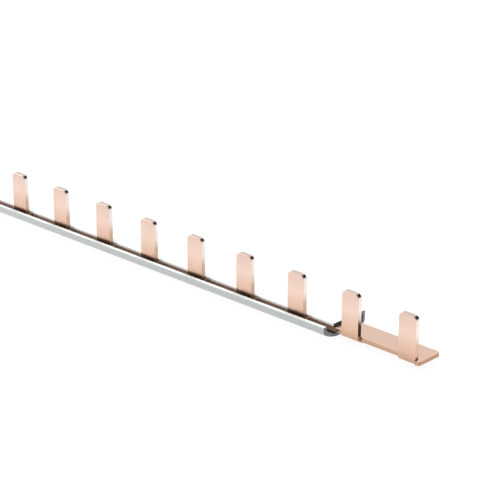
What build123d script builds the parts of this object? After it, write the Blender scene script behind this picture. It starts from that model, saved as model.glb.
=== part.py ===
from build123d import *
from math import sqrt
import os

os.makedirs("parts", exist_ok=True)

# Single-pole comb bus bar for a row of modular devices. Millimetres, +Z up.
# +X runs along the bar, towards the end where the copper stands bare.
# -Y is the front, where the tongues rise. The origin is under the middle of the bar.

# Copper comb, punched from one strip and folded
tongue_count = 12
tongue_pitch = 17.8
tongue_width = 5.3
tongue_height = 12.8
tip_radius = 1.3
copper_thickness = 1.3
fold_radius = 0.3
comb_depth = 8.1
edge_setback = 1.4
root_radius = 1.2
end_margin = 3.7
front_corner_radius = 1.0
back_corner_radius = 0.4

# The punch rolls the edges of the outer face over, and those of the inner face are only broken
outer_edge_radius = 0.3
inner_edge_break = 0.15

# Insulating profile, one extrusion with a slot along the top of its front
bare_length = 27.9
front_wall = 1.1
back_wall = 0.8
floor_wall = 0.8
roof_wall = 0.7
slot_front_gap = 1.05
slot_back_gap = 0.15
roof_gap = 0.1
rear_chamber = 4.45
floor_drop = 0.74
belly_radius = 10.0
belly_run = 5.7
foot_radius = 1.0
back_foot_radius = 1.2
back_top_radius = 0.5
lip_round = 0.2

# Ribs on the floor, under the strip and behind it
rib_width = 0.8
front_rib_inset = 1.2
stop_gap = 0.1
stop_height = 0.7

# Places along the bar
comb_length = (tongue_count - 1) * tongue_pitch + 2 * end_margin
comb_end = comb_length / 2
profile_length = comb_length - bare_length
tongue_gap = tongue_pitch - tongue_width

# Heights above the underside of the profile
strip_bottom = floor_wall + floor_drop
strip_top = strip_bottom + copper_thickness
roof_bottom = strip_top + roof_gap
profile_top = roof_bottom + roof_wall
tongue_top = strip_bottom + tongue_height

# Depths, from the front face of the profile to its back face
profile_depth = front_wall + slot_front_gap + comb_depth + rear_chamber + back_wall
profile_front = -profile_depth / 2
profile_back = profile_depth / 2
slot_front = profile_front + front_wall
tongue_front = slot_front + slot_front_gap
tongue_back = tongue_front + copper_thickness
roof_front = tongue_back + slot_back_gap
strip_front = tongue_front + edge_setback
strip_back = tongue_front + comb_depth
chamber_back = profile_back - back_wall
outer_fold = copper_thickness + fold_radius

# One upright tongue above its fold, with its edges rolled over in front and broken behind
fold_top = strip_top + fold_radius
leg_height = tongue_top - fold_top
with BuildPart() as tongue_leg:
    with BuildSketch(Plane.XZ.offset(-tongue_back)) as leg_outline:
        with Locations((0, fold_top + leg_height / 2)):
            Rectangle(tongue_width, leg_height)
        fillet(leg_outline.vertices().group_by(Axis.Y)[-1], tip_radius)
    extrude(amount=copper_thickness)
    front_face = tongue_leg.faces().sort_by(Axis.Y)[0]
    fillet(front_face.edges().sort_by(Axis.Z)[1:], outer_edge_radius)
    rear_face = tongue_leg.faces().sort_by(Axis.Y)[-1]
    chamfer(rear_face.edges().sort_by(Axis.Z)[1:], inner_edge_break)

# The copper comb: the folded section as long as the bar, with its waste punched out
with BuildPart() as copper_comb:
    with BuildSketch(Plane.YZ.offset(-comb_end)) as folded_section:
        with BuildLine():
            Polyline(
                (tongue_front + outer_fold, strip_bottom),
                (strip_back, strip_bottom),
                (strip_back, strip_top),
                (tongue_back + fold_radius, strip_top),
            )
            RadiusArc((tongue_back + fold_radius, strip_top), (tongue_back, fold_top), fold_radius)
            Line((tongue_back, fold_top), (tongue_front, fold_top))
            RadiusArc(
                (tongue_front, fold_top),
                (tongue_front + outer_fold, strip_bottom),
                -outer_fold,
            )
        make_face()
        back_edges = folded_section.vertices().group_by(Axis.X)[-1].sort_by(Axis.Y)
        fillet(back_edges[0], outer_edge_radius)
        chamfer(back_edges[-1], inner_edge_break)
    extrude(amount=comb_length)

    # What is punched out of the fold, beside every tongue
    with BuildSketch(Plane.XZ.offset(-tongue_front - outer_fold)) as fold_waste:
        with Locations((0, (strip_top + fold_top) / 2)):
            Rectangle(comb_length, fold_radius)
            with GridLocations(tongue_pitch, 0, tongue_count, 1):
                Rectangle(tongue_width, fold_radius, mode=Mode.SUBTRACT)
    extrude(amount=outer_fold, mode=Mode.SUBTRACT)

    # What is punched out of the lying strip, seen from above
    notch_reach = edge_setback + root_radius
    with BuildSketch(Plane.XY.offset(strip_bottom)) as strip_waste:
        with Locations((0, strip_front - notch_reach / 2)):
            with GridLocations(tongue_pitch, 0, tongue_count - 1, 1):
                Rectangle(tongue_gap, notch_reach)
        fillet(strip_waste.vertices().group_by(Axis.Y)[-1], root_radius)
    extrude(amount=copper_thickness, mode=Mode.SUBTRACT)

    # The rounded corners of the two ends, also seen from above
    with BuildSketch(Plane.XY.offset(strip_bottom)) as end_outline:
        with Locations((0, (tongue_front + strip_back) / 2)):
            Rectangle(comb_length, comb_depth)
        fillet(end_outline.vertices().group_by(Axis.Y)[0], front_corner_radius)
        fillet(end_outline.vertices().group_by(Axis.Y)[-1], back_corner_radius)
    extrude(amount=copper_thickness + fold_radius, mode=Mode.INTERSECT)

    with GridLocations(tongue_pitch, 0, tongue_count, 1):
        add(tongue_leg.part)

# The insulating profile: its section, then the length that leaves the last tongues bare
belly_rise = belly_radius - sqrt(belly_radius**2 - belly_run**2)
belly_end = profile_front + belly_run
cavity_run = belly_run - front_wall
cavity_radius = belly_radius - floor_wall
cavity_rise = belly_radius - sqrt(cavity_radius**2 - cavity_run**2)

with BuildPart() as insulating_profile:
    with BuildSketch(Plane.YZ.offset(-comb_end)) as hull_section:
        with BuildLine():
            RadiusArc((belly_end, 0), (profile_front, belly_rise), belly_radius)
            Polyline(
                (profile_front, belly_rise),
                (profile_front, profile_top),
                (profile_back, profile_top),
                (profile_back, 0),
                (belly_end, 0),
            )
        make_face()
        back_corners = hull_section.vertices().group_by(Axis.X)[-1].sort_by(Axis.Y)
        fillet(back_corners[0], back_foot_radius)
        fillet(back_corners[-1], back_top_radius)
        fillet(hull_section.vertices().group_by(Axis.X)[0].sort_by(Axis.Y)[0], foot_radius)

        # The channel inside, open upwards between the front wall and the roof
        with BuildLine():
            RadiusArc((belly_end, floor_wall), (slot_front, cavity_rise), cavity_radius)
            Polyline(
                (slot_front, cavity_rise),
                (slot_front, profile_top),
                (roof_front, profile_top),
                (roof_front, roof_bottom),
                (chamber_back, roof_bottom),
                (chamber_back, floor_wall),
                (belly_end, floor_wall),
            )
        make_face(mode=Mode.SUBTRACT)
        lips = hull_section.vertices().group_by(Axis.Y)[-1].filter_by_position(
            Axis.X, profile_front, roof_front
        )
        fillet(lips, lip_round)

        # The front rib, then the ledge and the stop at the strip's back edge
        corner = (Align.MIN, Align.MIN)
        with Locations((strip_front + front_rib_inset, floor_wall)):
            Rectangle(rib_width, floor_drop, align=corner)
        with Locations((strip_back - rib_width, floor_wall)):
            Rectangle(2 * rib_width, floor_drop, align=corner)
        with Locations((strip_back + stop_gap, floor_wall)):
            Rectangle(rib_width, floor_drop + stop_height, align=corner)
    extrude(amount=profile_length)

copper_comb.part.label = "copper_comb"
export_step(copper_comb.part, "parts/copper_comb.step")

insulating_profile.part.label = "insulating_profile"
export_step(insulating_profile.part, "parts/insulating_profile.step")
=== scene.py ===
import math

import bmesh
import bpy
from mathutils import Matrix, Vector


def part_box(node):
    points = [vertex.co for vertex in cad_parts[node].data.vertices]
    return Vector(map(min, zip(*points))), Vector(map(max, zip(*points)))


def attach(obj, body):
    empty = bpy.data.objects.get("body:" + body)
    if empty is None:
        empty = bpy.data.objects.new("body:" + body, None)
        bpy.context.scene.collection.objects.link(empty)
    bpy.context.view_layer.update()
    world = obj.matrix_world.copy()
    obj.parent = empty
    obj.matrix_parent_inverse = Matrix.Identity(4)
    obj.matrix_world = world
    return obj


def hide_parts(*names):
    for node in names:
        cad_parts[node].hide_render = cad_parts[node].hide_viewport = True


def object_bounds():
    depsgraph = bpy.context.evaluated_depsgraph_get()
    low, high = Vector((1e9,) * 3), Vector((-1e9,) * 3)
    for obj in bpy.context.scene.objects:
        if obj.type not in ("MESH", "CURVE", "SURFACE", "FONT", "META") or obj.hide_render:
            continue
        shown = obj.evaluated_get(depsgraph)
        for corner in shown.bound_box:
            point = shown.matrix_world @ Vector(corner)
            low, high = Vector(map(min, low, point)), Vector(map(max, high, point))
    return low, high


bl_info = {
    "name": "Comb Bus Bar",
    "version": (1, 0, 0),
    "blender": (4, 5, 0),
    "location": "3D View > Sidebar > Bus Bar",
    "description": "Dresses a copper comb bus bar and its profile, and sets a studio around them",
    "category": "Object",
}

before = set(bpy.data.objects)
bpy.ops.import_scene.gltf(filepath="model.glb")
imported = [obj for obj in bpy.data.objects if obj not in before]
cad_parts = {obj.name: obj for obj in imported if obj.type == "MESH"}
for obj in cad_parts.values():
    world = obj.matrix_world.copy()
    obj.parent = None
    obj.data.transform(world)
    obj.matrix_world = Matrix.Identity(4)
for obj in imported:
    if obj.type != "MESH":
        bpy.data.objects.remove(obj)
cad_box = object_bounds()

MM = 0.001
QUARTER = math.pi / 2
WHITE = (1.0, 1.0, 1.0)

# Steps of a round corner in the outline, and of the two round rims along its edge
ARC_STEPS = 10
RIM_STEPS = 4

# Places on the blank that are nearer to each other than this count as one
SAME_PLACE = 0.01 * MM

# How much of the roll along the inner face's edges is missing at the two flat ends
END_ROLL_MISSING = 0.85

# How much more a large face counts than a small one in the comb's smooth shading
FLAT_FACE_WEIGHT = 80

# Most of a noise's values lie between these
NOISE_SPREAD = (0.3, 0.7)

# Metres from the middle of the floor to its edges
FLOOR_REACH = 20.0

# The camera's sensor in millimetres, and the nearest thing that it sees in metres
SENSOR_WIDTH = 36.0
NEAREST_SEEN = 0.01


class BusBarComb(bpy.types.PropertyGroup):
    """Sizes of the copper comb. Its length, depth and heights come from the CAD node's box."""

    tongues: bpy.props.IntProperty(
        name="Tongues",
        description="Number of tongues",
        min=1,
        default=12,
    )
    pitch: bpy.props.FloatProperty(
        name="Pitch",
        description="From one tongue to the next",
        subtype="DISTANCE",
        unit="LENGTH",
        default=17.8 * MM,
    )
    tongue_width: bpy.props.FloatProperty(
        name="Tongue width",
        description="Width of a tongue",
        subtype="DISTANCE",
        unit="LENGTH",
        default=5.3 * MM,
    )
    thickness: bpy.props.FloatProperty(
        name="Thickness",
        description="Thickness of the copper",
        subtype="DISTANCE",
        unit="LENGTH",
        default=1.3 * MM,
    )
    tip_radius: bpy.props.FloatProperty(
        name="Tip radius",
        description="Radius of the two corners at a tongue's tip",
        subtype="DISTANCE",
        unit="LENGTH",
        default=1.3 * MM,
    )
    fold_radius: bpy.props.FloatProperty(
        name="Fold radius",
        description="Radius inside the fold between a tongue and the strip",
        subtype="DISTANCE",
        unit="LENGTH",
        default=0.3 * MM,
    )
    setback: bpy.props.FloatProperty(
        name="Setback",
        description="From the front of the tongues back to the strip's edge between them",
        subtype="DISTANCE",
        unit="LENGTH",
        default=1.4 * MM,
    )
    root_radius: bpy.props.FloatProperty(
        name="Root radius",
        description="Radius of the corners where a tongue leaves the strip",
        subtype="DISTANCE",
        unit="LENGTH",
        default=1.2 * MM,
    )
    back_corner: bpy.props.FloatProperty(
        name="Back corner",
        description="Radius of the strip's two corners at the back",
        subtype="DISTANCE",
        unit="LENGTH",
        default=0.4 * MM,
    )
    slit: bpy.props.FloatProperty(
        name="Slit",
        description="Cut between an end tongue and the flat end of the strip beside it",
        subtype="DISTANCE",
        unit="LENGTH",
        default=0.08 * MM,
    )
    end_droop: bpy.props.FloatProperty(
        name="End droop",
        description="How far the shear pulled the inner face down at the two ends of the strip",
        subtype="DISTANCE",
        unit="LENGTH",
        default=0.24 * MM,
    )
    last_sink: bpy.props.FloatProperty(
        name="Last tongue",
        description="How much lower the last tongue at the bare end stands than the others",
        subtype="DISTANCE",
        unit="LENGTH",
        default=0.36 * MM,
    )
    edge_radius: bpy.props.FloatProperty(
        name="Edge radius",
        description="Radius on the edges of the outer face",
        subtype="DISTANCE",
        unit="LENGTH",
        default=0.12 * MM,
    )
    roll_width: bpy.props.FloatProperty(
        name="Roll width",
        description="Width over which the punch pulled the inner face down at its edges",
        subtype="DISTANCE",
        unit="LENGTH",
        default=0.4 * MM,
    )
    roll_slope: bpy.props.FloatProperty(
        name="Roll slope",
        description="Steepest slope of the inner face at its edges",
        subtype="ANGLE",
        default=math.radians(22.0),
    )


class BusBarFinish(bpy.types.PropertyGroup):
    """Colours and surface qualities that a user may change."""

    copper: bpy.props.FloatVectorProperty(
        name="Copper",
        description="Colour of the bright rolled copper",
        subtype="COLOR",
        size=3,
        min=0.0,
        max=1.0,
        default=(0.805, 0.60, 0.51),
    )
    # Near the folds this warm tone is painted shade; in the faint patches it is the copper's own tone
    copper_warm: bpy.props.FloatVectorProperty(
        name="Warm copper",
        description="Deeper tone of the copper near its folds and in faint patches",
        subtype="COLOR",
        size=3,
        min=0.0,
        max=1.0,
        default=(0.66, 0.415, 0.30),
    )
    # Painted light: a pale tone on the punched edges near the tips, for the light that they catch
    cut_edge_painted_light: bpy.props.FloatVectorProperty(
        name="Cut copper",
        description="Pale tone of the punched edges near the tips of the tongues",
        subtype="COLOR",
        size=3,
        min=0.0,
        max=1.0,
        default=(0.89, 0.8, 0.735),
    )
    copper_roughness: bpy.props.FloatProperty(
        name="Copper roughness",
        description="Middle roughness of the copper's faces",
        subtype="FACTOR",
        min=0.05,
        max=1.0,
        default=0.26,
    )
    plastic: bpy.props.FloatVectorProperty(
        name="Plastic",
        description="Colour of the extruded profile",
        subtype="COLOR",
        size=3,
        min=0.0,
        max=1.0,
        default=(0.462, 0.482, 0.48),
    )
    plastic_roughness: bpy.props.FloatProperty(
        name="Plastic roughness",
        description="Middle roughness of the profile's surface",
        subtype="FACTOR",
        min=0.05,
        max=1.0,
        default=0.38,
    )


class BusBarStudio(bpy.types.PropertyGroup):
    """Where the picture is taken from, and the light and the floor around the bar."""

    azimuth: bpy.props.FloatProperty(
        name="Azimuth",
        description="Turn of the camera from the front of the bar towards its bare end",
        subtype="ANGLE",
        default=math.radians(43.861),
    )
    elevation: bpy.props.FloatProperty(
        name="Elevation",
        description="Height of the camera above the horizon",
        subtype="ANGLE",
        default=math.radians(21.539),
    )
    distance: bpy.props.FloatProperty(
        name="Distance",
        description="From the camera to the point that it looks at",
        subtype="DISTANCE",
        unit="LENGTH",
        default=435.85 * MM,
    )
    aim: bpy.props.FloatVectorProperty(
        name="Aim",
        description="The point that the camera looks at",
        subtype="TRANSLATION",
        unit="LENGTH",
        size=3,
        default=(64.53 * MM, -24.13 * MM, 26.25 * MM),
    )
    lens: bpy.props.FloatProperty(
        name="Lens",
        description="Focal length in millimetres, for a 36 mm sensor",
        default=132.75,
    )
    floor: bpy.props.FloatVectorProperty(
        name="Floor",
        description="Colour of the floor",
        subtype="COLOR",
        size=3,
        min=0.0,
        max=1.0,
        default=(0.1, 0.1, 0.1),
    )
    floor_glow: bpy.props.FloatProperty(
        name="Floor glow",
        description="Light that the floor gives from below, as a light table does",
        default=0.93,
    )
    light_power: bpy.props.FloatProperty(
        name="Overhead light",
        description="Power of the large soft light above the bar",
        subtype="POWER",
        unit="POWER",
        default=12.0,
    )
    light_place: bpy.props.FloatVectorProperty(
        name="Overhead place",
        description="From the middle of the bar to the overhead light",
        subtype="TRANSLATION",
        unit="LENGTH",
        size=3,
        default=(0.0, 0.08, 0.8),
    )
    light_size: bpy.props.FloatProperty(
        name="Overhead size",
        description="Side of the square overhead light",
        subtype="DISTANCE",
        unit="LENGTH",
        default=0.5,
    )
    fill_power: bpy.props.FloatProperty(
        name="Fill light",
        description="Power of the small soft light at the front left of the bar",
        subtype="POWER",
        unit="POWER",
        default=0.4,
    )
    fill_place: bpy.props.FloatVectorProperty(
        name="Fill place",
        description="From the middle of the bar to the fill light",
        subtype="TRANSLATION",
        unit="LENGTH",
        size=3,
        default=(-0.3, -0.25, 0.1),
    )
    fill_size: bpy.props.FloatProperty(
        name="Fill size",
        description="Side of the square fill light",
        subtype="DISTANCE",
        unit="LENGTH",
        default=0.2,
    )
    sky_strength: bpy.props.FloatProperty(
        name="Left side light",
        description="Strength of the soft light from the left of the bar",
        default=1.05,
    )
    dim_side: bpy.props.FloatProperty(
        name="Right back light",
        description="Strength of the light from behind the bare end",
        default=0.2,
    )
    open_side: bpy.props.FloatProperty(
        name="Right front light",
        description="Strength of the light from the front of the bare end",
        default=0.45,
    )
    flag: bpy.props.FloatVectorProperty(
        name="Flag",
        description="Direction of the black flag that darkens the corners of the tips",
        subtype="DIRECTION",
        size=3,
        default=(0.45, 0.67, 0.59),
    )
    fade_start: bpy.props.FloatProperty(
        name="Fade start",
        description="Where the left side's light starts to fade, from -1 at the left to 1 at the right",
        min=-1.0,
        max=1.0,
        default=-0.38,
    )
    fade_end: bpy.props.FloatProperty(
        name="Fade end",
        description="Where the left side's light has faded, from -1 at the left to 1 at the right",
        min=-1.0,
        max=1.0,
        default=-0.08,
    )


def add_node(tree, kind, inputs=None, **settings):
    """Adds a node, makes its settings, and fills or links its inputs."""
    made = tree.nodes.new(kind)
    for name, value in settings.items():
        setattr(made, name, value)
    for name, value in (inputs or {}).items():
        if isinstance(value, bpy.types.NodeSocket):
            tree.links.new(value, made.inputs[name])
        else:
            made.inputs[name].default_value = value
    return made


def new_material(name):
    """An empty node material and its tree."""
    material = bpy.data.materials.new(name)
    material.use_nodes = True
    material.node_tree.nodes.clear()
    return material, material.node_tree


def stretched(tree, scale):
    """The place on the part in millimetres, multiplied by scale along each axis."""
    place = add_node(tree, "ShaderNodeTexCoord").outputs["Object"]
    return add_node(
        tree,
        "ShaderNodeMapping",
        {"Vector": place, "Scale": [s / MM for s in scale]},
    ).outputs["Vector"]


def noise(tree, scale, detail=2.0, roughness=0.5):
    """Noise with features about one over scale millimetres large."""
    return add_node(
        tree,
        "ShaderNodeTexNoise",
        {"Vector": stretched(tree, scale), "Scale": 1.0, "Detail": detail, "Roughness": roughness},
    ).outputs["Fac"]


def remap(tree, value, low, high, to_low, to_high):
    """Carries the range low to high over to the range to_low to to_high."""
    return add_node(
        tree,
        "ShaderNodeMapRange",
        {"Value": value, "From Min": low, "From Max": high, "To Min": to_low, "To Max": to_high},
    ).outputs["Result"]


def rising(tree, value, start, end):
    """A mask that rises from nothing at start to one at end."""
    return remap(tree, value, start, end, 0.0, 1.0)


def falling(tree, value, start, end):
    """A mask that falls from one at start to nothing at end."""
    return remap(tree, value, start, end, 1.0, 0.0)


def mixed(tree, factor, first, second, blend="MIX"):
    """Mixes two colours, each a socket or an RGB triple."""
    node = add_node(tree, "ShaderNodeMix", data_type="RGBA", blend_type=blend)
    sockets = (node.inputs[0], node.inputs[6], node.inputs[7])
    for socket, value in zip(sockets, (factor, first, second)):
        if isinstance(value, bpy.types.NodeSocket):
            tree.links.new(value, socket)
        elif socket.type == "RGBA":
            socket.default_value = (*value, 1.0)
        else:
            socket.default_value = value
    return node.outputs[2]


def tinted(tree, colour, *tones):
    """A colour multiplied by each of the tones."""
    for tone in tones:
        colour = mixed(tree, 1.0, colour, tone, blend="MULTIPLY")
    return colour


def between(tree, factor, first, second):
    """A value that goes from the first to the second as the factor goes from nothing to one."""
    return add_node(tree, "ShaderNodeMix", {0: factor, 2: first, 3: second}).outputs[0]


def multiplied(tree, value, *factors):
    """The product of a value and its factors."""
    for factor in factors:
        made = add_node(tree, "ShaderNodeMath", {0: value, 1: factor}, operation="MULTIPLY")
        value = made.outputs["Value"]
    return value


def axes_of(tree, vector):
    """The X, Y and Z of a vector."""
    return add_node(tree, "ShaderNodeSeparateXYZ", {"Vector": vector}).outputs


def place_and_facing(tree):
    """The place on the part and the way that its face looks there, each as X, Y and Z."""
    place = add_node(tree, "ShaderNodeTexCoord").outputs["Object"]
    normal = add_node(tree, "ShaderNodeNewGeometry").outputs["Normal"]
    return axes_of(tree, place), axes_of(tree, normal)


def relief(tree, height, strength, depth):
    """A normal bumped by a height, with its strength and its depth."""
    return add_node(
        tree,
        "ShaderNodeBump",
        {"Height": height, "Strength": strength, "Distance": depth},
    ).outputs["Normal"]


def close_material(tree, inputs):
    """Ends a material in a principled shader with these inputs."""
    shader = add_node(tree, "ShaderNodeBsdfPrincipled", inputs)
    add_node(tree, "ShaderNodeOutputMaterial", {"Surface": shader.outputs["BSDF"]})


def arc(across, up, radius, start, turn):
    """Points on an arc round the place across, up, from the angle start, both its ends included."""
    angles = [start + turn * k / ARC_STEPS for k in range(ARC_STEPS + 1)]
    return [Vector((across + radius * math.cos(a), up + radius * math.sin(a))) for a in angles]


class Blank:
    """The punched comb before folding. A place on it is its x and its run past the fold's start."""

    def __init__(self, comb):
        low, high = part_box("copper_comb")
        self.comb = comb
        self.end = high.x
        self.bottom = low.z

        # The fold's outer radius is how far it reaches back and up. Runs are along its middle.
        self.reach = comb.thickness + comb.fold_radius
        self.fold_start = low.y + self.reach
        self.fold_top = low.z + self.reach
        self.fold_run = QUARTER * (comb.fold_radius + comb.thickness / 2)

        # Runs to the strip's back edge, to the notches beside the tongues and to the tips
        self.back = self.fold_start - high.y
        self.notch = self.reach - comb.setback
        self.tip = self.fold_run + high.z - self.fold_top

        # Over this run past the notches, the flat strip goes over into the fold
        self.blend_run = self.reach / 4

        span = (comb.tongues - 1) * comb.pitch + comb.tongue_width
        self.slit_edge = span / 2 + comb.slit

        # The outline's places, its pairs of places on each tongue and its places on each flat end
        self.outline = []
        self.tongues = []
        self.tabs = []
        self.draw_outline()

    def tongue_side(self, at_end):
        """A tongue's right edge, from its root, or from the slit beside an end tongue, to its tip."""
        comb = self.comb
        half = comb.tongue_width / 2
        root, tip = comb.root_radius, comb.tip_radius
        side = arc(half + root, self.notch + root, root, -QUARTER, -QUARTER)
        if at_end:
            side = [Vector((half, place.y)) for place in side]
            side[0].y = 0.0
        side.append(Vector((half, self.fold_run)))
        return side + arc(half - tip, self.tip - tip, tip, 0.0, QUARTER)

    def draw_outline(self):
        """Walks round the blank anticlockwise, and pairs the places on both edges of every tongue."""
        comb = self.comb
        corner = comb.back_corner

        # A flat end is as wide as its front corner is round
        width = self.end - self.slit_edge
        end = [Vector((self.slit_edge, self.back))]
        end += arc(self.end - corner, self.back + corner, corner, -QUARTER, QUARTER)
        end += arc(self.slit_edge, self.reach - width, width, 0.0, QUARTER)
        end.append(Vector((self.slit_edge, 0.0)))
        self.outline += end
        for k in reversed(range(comb.tongues)):
            middle = (k - (comb.tongues - 1) / 2) * comb.pitch
            right = self.tongue_side(k == comb.tongues - 1)
            left = self.tongue_side(k == 0)
            first = len(self.outline)
            last = first + 2 * len(right) - 1
            self.tongues.append([(first + step, last - step) for step in range(len(right))])
            self.outline += [Vector((middle + place.x, place.y)) for place in right]
            self.outline += [Vector((middle - place.x, place.y)) for place in reversed(left)]
        self.outline += [Vector((-place.x, place.y)) for place in reversed(end)]
        count = len(self.outline)
        self.tabs += [range(len(end)), range(count - len(end), count)]

    def inset_outline(self, inset):
        """The outline drawn inwards by inset."""
        moved = []
        count = len(self.outline)
        for k, place in enumerate(self.outline):
            before = (place - self.outline[k - 1]).normalized()
            after = (self.outline[(k + 1) % count] - place).normalized()
            first, second = Vector((-before.y, before.x)), Vector((-after.y, after.x))
            spot = place + inset * (first + second) / (1.0 + first.dot(second))
            if abs(place.x) >= self.slit_edge:
                spot.x = self.kept_off_slit(place.x, spot.x, inset)
            moved.append(spot)
        return moved

    def kept_off_slit(self, before, after, inset):
        """Where a flat end's place, inset from x before to x after, stays clear of the slit."""
        nearest = self.slit_edge + inset / 4
        at_slit = abs(before) < self.slit_edge + SAME_PLACE
        return math.copysign(nearest if at_slit else max(abs(after), nearest), after)

    def laid(self, place, height):
        """A place on the lying strip, whose inner face falls towards its two ends."""
        comb = self.comb
        spot = Vector((place.x, self.fold_start - place.y, self.bottom + height))
        past = max(abs(place.x) - self.slit_edge, 0.0)
        share = height / comb.thickness
        spot.z -= comb.end_droop * share * past / (self.end - self.slit_edge)
        if past > 0.0 and height > comb.thickness / 2:
            spot.z += END_ROLL_MISSING * (comb.thickness - height)
        return spot

    def raised(self, place, height):
        """A place in the fold or on the tongue above it. The last tongue stands lower."""
        comb = self.comb
        turn = QUARTER * min(place.y / self.fold_run, 1.0)
        radius = self.reach - height
        rise = max(place.y - self.fold_run, 0.0)
        spot = Vector((
            place.x,
            self.fold_start - radius * math.sin(turn),
            self.fold_top - radius * math.cos(turn) + rise,
        ))
        inner_side = self.slit_edge - comb.slit - comb.tongue_width
        into_last = (place.x - inner_side) / comb.root_radius + 1.0
        spot.z -= comb.last_sink * min(max(into_last, 0.0), 1.0)
        return spot

    def folded(self, place, height):
        """Where a place on the blank, at a height over its outer face, comes to lie when folded."""
        laid = self.laid(place, height)
        run = place.y - self.notch
        if run <= 0.0 or abs(place.x) >= self.slit_edge:
            return laid
        share = min(run / self.blend_run, 1.0)
        return laid.lerp(self.raised(place, height), share * share * (3.0 - 2.0 * share))

    def rims(self):
        """Inset, height and how far it was cut, for rings from the outer to the inner face."""
        comb = self.comb
        rings = []
        for k in range(RIM_STEPS + 1):
            turn = QUARTER * k / RIM_STEPS
            drop = comb.edge_radius * (1 - math.cos(turn))
            rings.append((comb.edge_radius * (1 - math.sin(turn)), drop, k / RIM_STEPS))
        roll = comb.roll_width / math.sin(comb.roll_slope)
        burr = comb.thickness - roll * (1 - math.cos(comb.roll_slope))
        under_burr = comb.edge_radius / 4
        rings.append((0.0, burr - under_burr, 1.0))
        for k in reversed(range(RIM_STEPS + 1)):
            turn = comb.roll_slope * k / RIM_STEPS
            height = comb.thickness - roll * (1 - math.cos(turn))
            rings.append((comb.roll_width - roll * math.sin(turn), height, 0.0))
        return rings


def close_face(built, blank, ring):
    """Fills the outer or the inner face within its ring: the strip, its flat ends and the tongues."""
    left_out = {k for pairs in blank.tongues for pair in pairs[1:] for k in pair}
    left_out.update(k for tab in blank.tabs for k in tab[1:-1])
    built.faces.new([vertex for k, vertex in enumerate(ring) if k not in left_out])
    for tab in blank.tabs:
        built.faces.new([ring[k] for k in tab])
    for pairs in blank.tongues:
        for (right, left), (next_right, next_left) in zip(pairs, pairs[1:]):
            built.faces.new((ring[right], ring[next_right], ring[next_left], ring[left]))


def comb_mesh(comb):
    """The folded comb. The attribute cut is one on its punched edges."""
    blank = Blank(comb)
    built = bmesh.new()
    cut = built.verts.layers.float.new("cut")
    rims = blank.rims()
    rings = []
    for inset, height, share in rims:
        rings.append([])
        for place in blank.inset_outline(inset):
            vertex = built.verts.new(blank.folded(place, height))
            vertex[cut] = share
            rings[-1].append(vertex)
    count = len(blank.outline)
    for lower, upper in zip(rings, rings[1:]):
        for k in range(count):
            after = (k + 1) % count
            built.faces.new((lower[k], lower[after], upper[after], upper[k]))
    last_cut = max(k for k, (inset, height, share) in enumerate(rims) if share == 1.0)
    burr = set(rings[last_cut + 1])
    for edge in built.edges:
        edge.smooth = not burr.issuperset(edge.verts)
    for ring in (rings[0], rings[-1]):
        close_face(built, blank, ring)
    bmesh.ops.recalc_face_normals(built, faces=built.faces)
    for face in built.faces:
        face.smooth = True
    mesh = bpy.data.meshes.new("punched_comb")
    built.to_mesh(mesh)
    built.free()
    return mesh


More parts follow.
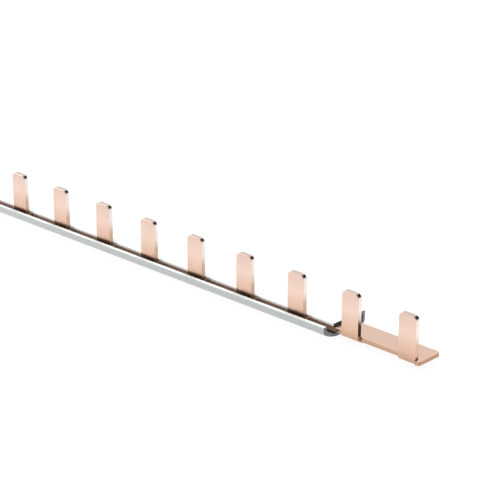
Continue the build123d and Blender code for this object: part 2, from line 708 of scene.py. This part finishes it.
def copper_material(finish):
    """Rolled copper with faint grain and warm random patches. Painted shade makes it warmer and darker
    by its folds, at its feet, towards the tips and on the bare end's face; painted light makes its
    punched edges pale near the tips and lightens its lying faces and rolled rims.
    """
    material, tree = new_material("rolled_copper")
    grain = noise(tree, (7.0, 0.2, 0.2), detail=3.0, roughness=0.6)
    streaks = noise(tree, (1.6, 0.3, 0.06), detail=2.0)
    patches = noise(tree, (0.2, 0.25, 0.16), detail=3.0)
    place, facing = place_and_facing(tree)
    cut = add_node(tree, "ShaderNodeAttribute", attribute_name="cut").outputs["Fac"]

    # Heights over the ground, from the underside of the strip to the tips
    strip_bottom, strip_top, over_strip = 1.5 * MM, 2.9 * MM, 3.2 * MM
    over_fold, middle, upper, tips = 4.2 * MM, 6.5 * MM, 9.5 * MM, 14.3 * MM

    # How far up a face looks from which it counts as leaning, and as lying
    leaning, lying = 0.4, 0.8

    # Shares of the warm painted shade on lying faces, of the warm tone in random patches, and of the
    # painted tones on cut edges
    lying_share, patch_share, cut_share = 0.05, 0.14, 0.9

    # Painted shade that multiplies the colour at the feet, towards the tips and on the tips' ends, and
    # painted tones for lying faces, the bare end's face and the rolled rims
    foot_shade, tip_shade, tip_end_shade = 0.74, 0.89, 0.88
    painted_lying_light = (1.06, 1.01, 0.96)
    end_face_shade_tone = (0.86, 0.79, 0.72)
    rim_highlight_tone = (1.12, 1.0, 0.88)

    strip = falling(tree, place["Z"], strip_top, over_strip)
    risen = rising(tree, place["Z"], middle, upper)
    still_low = falling(tree, place["Z"], middle, upper)
    # Painted shade: a warm tone on upright faces from the strip to the middle of the tongues, and a
    # little on lying faces
    painted_fold_shade = multiplied(
        tree,
        remap(tree, facing["Z"], leaning, lying, 1.0, lying_share),
        falling(tree, place["Z"], over_strip, upper),
    )
    worn = remap(tree, patches, 0.4, 0.75, 0.0, patch_share)
    # On the cut edges: a warm painted shade below the middle and a pale painted light higher up
    punched = remap(tree, cut, 0.5, 0.95, 0.0, cut_share)
    low_edge = multiplied(tree, punched, still_low)
    painted_high_edge_light = multiplied(tree, punched, risen)
    tone = mixed(tree, painted_fold_shade, finish.copper, finish.copper_warm)
    tone = mixed(tree, worn, tone, finish.copper_warm)
    tone = mixed(tree, low_edge, tone, finish.copper_warm)
    tone = mixed(tree, painted_high_edge_light, tone, finish.cut_edge_painted_light)

    # Painted shade: darker towards the bottom, while lying faces get a slightly lighter painted tone
    # instead
    painted_foot_shade = remap(tree, place["Z"], strip_bottom, over_fold, foot_shade, 1.0)
    painted_foot_shade = mixed(tree, rising(tree, facing["Z"], leaning, lying), painted_foot_shade, painted_lying_light)
    # Painted shade: darker towards the tips, and darker still on upward faces high on the tongues
    tip = remap(tree, place["Z"], upper, tips, 1.0, tip_shade)
    painted_tip_end_shade = mixed(tree, risen, WHITE, remap(tree, facing["Z"], 0.3, 0.9, 1.0, tip_end_shade))
    drawn = remap(tree, streaks, *NOISE_SPREAD, 0.98, 1.01)
    # Painted shade on the strip's faces that look towards the bare end
    painted_end_face_shade = multiplied(tree, strip, rising(tree, facing["X"], 0.6, 0.9))
    # Painted highlight: a lighter, warmer tone on the rolled rims along the strip's inner face
    rolled = multiplied(
        tree,
        rising(tree, facing["Z"], 0.8, 0.9),
        falling(tree, facing["Z"], 0.93, 0.985),
        strip,
    )
    painted_end_face_shade = mixed(tree, painted_end_face_shade, WHITE, end_face_shade_tone)
    rolled = mixed(tree, rolled, WHITE, rim_highlight_tone)
    shade = tinted(tree, painted_foot_shade, tip, painted_tip_end_shade, drawn, painted_end_face_shade, rolled)

    smooth_side = finish.copper_roughness - 0.02
    rough_side = finish.copper_roughness + 0.03
    low_edge_roughness = 0.2
    grain_strength, grain_depth = 0.03, 0.004 * MM
    roughness = remap(tree, grain, *NOISE_SPREAD, smooth_side, rough_side)
    close_material(
        tree,
        {
            "Base Color": tinted(tree, tone, shade),
            "Metallic": 1.0,
            "Roughness": between(tree, low_edge, roughness, low_edge_roughness),
            "Normal": relief(tree, grain, grain_strength, grain_depth),
        },
    )
    return material


def plastic_material(finish):
    """Satin extruded plastic with die lines and sawn ends with saw marks. Painted shade darkens its
    channel, its slot and its sawn ends; painted light lightens the roof's lip.
    """
    material, tree = new_material("extruded_plastic")
    die_lines = noise(tree, (0.02, 5.0, 5.0), detail=3.0)
    mottle = noise(tree, (0.5, 0.9, 0.9), detail=4.0)
    saw_marks = noise(tree, (0.1, 1.2, 9.0), detail=3.0)
    place, facing = place_and_facing(tree)

    # Stretches over which a mask comes or goes, at the inner faces of the walls, floor and roof
    low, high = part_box("insulating_profile")
    front_wall = (low.y + 0.85 * MM, low.y + 1.05 * MM)
    back_wall = (high.y - 0.75 * MM, high.y - 0.55 * MM)
    floor = (low.z + 0.6 * MM, low.z + 0.75 * MM)
    roof = (high.z - 1.44 * MM, high.z - 0.74 * MM)

    # The same across the open slot, before and behind the roof's front face, and on the sawn ends
    slot = (low.y + 1.75 * MM, low.y + 2.75 * MM)
    before_lip = (low.y + 3.15 * MM, low.y + 3.35 * MM)
    behind_lip = (low.y + 3.65 * MM, low.y + 3.8 * MM)
    roof_start = (low.y + 2.75 * MM, low.y + 3.45 * MM)
    back_wall_start = (high.y - 1.15 * MM, high.y - 0.75 * MM)

    # Painted shade that multiplies the colour in the channel, in the slot and where it is sawn, and
    # painted light on the roof's lip
    channel_painted_shade = (0.3, 0.28, 0.27)
    slot_painted_shade = (0.2, 0.16, 0.14)
    lip_painted_light = (2.1, 1.88, 1.8)
    sawn_painted_shades = (0.3, 0.29, 0.29), (0.5, 0.5, 0.5)
    # Painted shade on the roof's end, and painted light that takes most of it off the back wall's end
    roof_end_shade, back_wall_end_shade = 0.66, 1.7

    # Painted shade inside the channel, between the walls, the floor and the roof
    channel = multiplied(
        tree,
        falling(tree, place["Z"], *roof),
        rising(tree, place["Y"], *front_wall),
        falling(tree, place["Y"], *back_wall),
        rising(tree, place["Z"], *floor),
        rising(tree, facing["Z"], -0.9, -0.1),
    )
    # Painted shade on the front wall's inner face across the open slot
    slot_face_painted_shade = multiplied(
        tree,
        falling(tree, place["Y"], *slot),
        rising(tree, facing["Y"], 0.5, 0.95),
    )
    # Painted light on the roof's front face
    lip = multiplied(
        tree,
        rising(tree, place["Y"], *before_lip),
        falling(tree, place["Y"], *behind_lip),
        falling(tree, facing["Y"], -0.9, -0.5),
    )
    # Painted shade on the sawn ends, varied by their saw marks, darkest on the roof's end and lighter
    # on the back wall's end
    side_on = add_node(tree, "ShaderNodeMath", {0: facing["X"]}, operation="ABSOLUTE")
    sawn = rising(tree, side_on.outputs["Value"], 0.8, 0.95)

    shade = remap(tree, mottle, *NOISE_SPREAD, 0.97, 1.03)
    shade = mixed(tree, channel, shade, channel_painted_shade)
    shade = mixed(tree, slot_face_painted_shade, shade, slot_painted_shade)
    shade = mixed(tree, lip, shade, lip_painted_light)
    roof_end_painted_shade = remap(tree, place["Y"], *roof_start, 1.0, roof_end_shade)
    wall_end_painted_light = remap(tree, place["Y"], *back_wall_start, 1.0, back_wall_end_shade)
    cut = mixed(tree, saw_marks, *sawn_painted_shades)
    cut = tinted(tree, cut, multiplied(tree, roof_end_painted_shade, wall_end_painted_light))
    shade = mixed(tree, sawn, shade, cut)

    smooth_side = finish.plastic_roughness - 0.06
    rough_side = finish.plastic_roughness + 0.08
    mark_strength, mark_depth = 0.3, 0.02 * MM
    marks = between(tree, sawn, die_lines, saw_marks)
    close_material(
        tree,
        {
            "Base Color": tinted(tree, finish.plastic, shade),
            "Roughness": remap(tree, die_lines, *NOISE_SPREAD, smooth_side, rough_side),
            "Normal": relief(tree, marks, mark_strength, mark_depth),
        },
    )
    return material


def give(node_name, material):
    """Puts a material on a CAD node."""
    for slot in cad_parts[node_name].material_slots:
        slot.material = material


class BUSBAR_OT_comb(bpy.types.Operator):
    """Builds the punched and folded copper comb in the place of the CAD node"""

    bl_idname = "busbar.comb"
    bl_label = "Build Copper Comb"

    def execute(self, context):
        scene = context.scene
        mesh = comb_mesh(scene.busbar_comb)
        mesh.materials.append(copper_material(scene.busbar_finish))
        comb = bpy.data.objects.new("punched_comb", mesh)
        scene.collection.objects.link(comb)
        flat_faces = comb.modifiers.new("flat_faces", "WEIGHTED_NORMAL")
        flat_faces.weight = FLAT_FACE_WEIGHT
        flat_faces.keep_sharp = True
        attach(comb, "root")
        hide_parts("copper_comb")
        return {"FINISHED"}


class BUSBAR_OT_profile(bpy.types.Operator):
    """Gives the insulating profile its finish"""

    bl_idname = "busbar.profile"
    bl_label = "Finish Insulating Profile"

    def execute(self, context):
        give("insulating_profile", plastic_material(context.scene.busbar_finish))
        return {"FINISHED"}


def soft_light(name, place, aim, size, power):
    """A square light at place that shines at aim."""
    data = bpy.data.lights.new(name, "AREA")
    data.shape = "SQUARE"
    data.size = size
    data.energy = power
    light = bpy.data.objects.new(name, data)
    light.location = place
    light.rotation_euler = (Vector(aim) - Vector(place)).to_track_quat("-Z", "Y").to_euler()
    bpy.context.scene.collection.objects.link(light)
    return light


def lay_floor(colour, glow):
    """A wide pale floor under the bar, lit from below as well."""
    far = FLOOR_REACH
    mesh = bpy.data.meshes.new("floor")
    corners = [(-far, -far, 0), (far, -far, 0), (far, far, 0), (-far, far, 0)]
    mesh.from_pydata(corners, [], [(0, 1, 2, 3)])
    floor = bpy.data.objects.new("floor", mesh)
    material, tree = new_material("pale_floor")
    close_material(
        tree,
        {
            "Base Color": (*colour, 1.0),
            "Roughness": 0.9,
            "Specular IOR Level": 0.0,
            "Emission Color": (*WHITE, 1.0),
            "Emission Strength": glow,
        },
    )
    mesh.materials.append(material)
    bpy.context.scene.collection.objects.link(floor)


def set_camera(studio):
    """A camera that looks at the aim from the picture's own angle."""
    turn, rise = studio.azimuth, studio.elevation
    level = math.cos(rise)
    right = Vector((math.cos(turn), math.sin(turn), 0.0))
    back = Vector((math.sin(turn) * level, -math.cos(turn) * level, math.sin(rise)))
    up = back.cross(right)
    data = bpy.data.cameras.new("camera")
    data.lens = studio.lens
    data.sensor_width = SENSOR_WIDTH
    data.clip_start = NEAREST_SEEN
    camera = bpy.data.objects.new("camera", data)
    spot = Vector(studio.aim) + back * studio.distance
    camera.matrix_world = Matrix.Translation(spot) @ Matrix((right, up, back)).transposed().to_4x4()
    bpy.context.scene.collection.objects.link(camera)
    bpy.context.scene.camera = camera


def set_sky(studio):
    """Soft light from the left of the bar, dimmer at its bare end, with a black flag behind it."""
    world = bpy.data.worlds.new("studio")
    world.use_nodes = True
    tree = world.node_tree
    tree.nodes.clear()
    direction = add_node(tree, "ShaderNodeTexCoord").outputs["Generated"]
    axes = axes_of(tree, direction)

    # High up, the left side's light reaches this much further right, and all light is this strong
    high_reach, high_light = 0.27, 1.3

    # How much of the light is left at the flag, and the light near the horizon
    flag_light, horizon_light = 0.03, 1.0

    right = remap(tree, axes["Y"], -0.3, 0.3, studio.open_side, studio.dim_side)
    reach = remap(tree, axes["Z"], 0.45, 0.75, 0.0, -high_reach)
    rightness = add_node(tree, "ShaderNodeMath", {0: axes["X"], 1: reach}, operation="ADD")
    light = add_node(
        tree,
        "ShaderNodeMapRange",
        {
            "Value": rightness.outputs["Value"],
            "From Min": studio.fade_start,
            "From Max": studio.fade_end,
            "To Min": studio.sky_strength,
            "To Max": right,
        },
        interpolation_type="SMOOTHSTEP",
    ).outputs["Result"]
    higher = remap(tree, axes["Z"], 0.3, 0.9, 1.0, high_light)
    towards_flag = add_node(
        tree,
        "ShaderNodeVectorMath",
        {0: direction, 1: Vector(studio.flag).normalized()},
        operation="DOT_PRODUCT",
    ).outputs["Value"]
    beside_flag = remap(tree, towards_flag, 0.85, 0.95, 1.0, flag_light)
    light = multiplied(tree, light, higher, beside_flag)
    horizon = falling(tree, axes["Z"], 0.06, 0.2)
    light = between(tree, horizon, light, horizon_light)
    background = add_node(tree, "ShaderNodeBackground", {"Strength": light})
    add_node(tree, "ShaderNodeOutputWorld", {"Surface": background.outputs["Background"]})
    bpy.context.scene.world = world


class BUSBAR_OT_studio(bpy.types.Operator):
    """Lays the floor and sets up the light and the camera"""

    bl_idname = "busbar.studio"
    bl_label = "Set Up Studio"

    def execute(self, context):
        studio = context.scene.busbar_studio
        lay_floor(studio.floor, studio.floor_glow)
        set_sky(studio)
        middle = (cad_box[0] + cad_box[1]) / 2
        light_place = middle + Vector(studio.light_place)
        fill_place = middle + Vector(studio.fill_place)
        overhead = soft_light("overhead", light_place, middle, studio.light_size, studio.light_power)
        overhead.visible_glossy = False
        soft_light("fill", fill_place, middle, studio.fill_size, studio.fill_power)
        set_camera(studio)
        context.scene.view_settings.view_transform = "Standard"
        return {"FINISHED"}


class BUSBAR_PT_panel(bpy.types.Panel):
    """The bar's settings and the steps that build it"""

    bl_idname = "BUSBAR_PT_panel"
    bl_label = "Comb Bus Bar"
    bl_space_type = "VIEW_3D"
    bl_region_type = "UI"
    bl_category = "Bus Bar"

    def draw(self, context):
        scene = context.scene
        for group in (scene.busbar_comb, scene.busbar_finish, scene.busbar_studio):
            box = self.layout.box()
            for name in group.__annotations__:
                box.prop(group, name)
        for operator in STEPS:
            self.layout.operator(operator.bl_idname)


STEPS = (BUSBAR_OT_comb, BUSBAR_OT_profile, BUSBAR_OT_studio)
CLASSES = (BusBarComb, BusBarFinish, BusBarStudio, *STEPS, BUSBAR_PT_panel)


def register():
    """Registers the classes, and gives the scene their settings."""
    for cls in CLASSES:
        bpy.utils.register_class(cls)
    bpy.types.Scene.busbar_comb = bpy.props.PointerProperty(type=BusBarComb)
    bpy.types.Scene.busbar_finish = bpy.props.PointerProperty(type=BusBarFinish)
    bpy.types.Scene.busbar_studio = bpy.props.PointerProperty(type=BusBarStudio)


def unregister():
    """Takes the settings off the scene, and unregisters the classes."""
    del bpy.types.Scene.busbar_studio
    del bpy.types.Scene.busbar_finish
    del bpy.types.Scene.busbar_comb
    for cls in reversed(CLASSES):
        bpy.utils.unregister_class(cls)


def main():
    """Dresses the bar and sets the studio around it."""
    register()
    bpy.ops.busbar.comb()
    bpy.ops.busbar.profile()
    bpy.ops.busbar.studio()


if __name__ == "__main__":
    main()
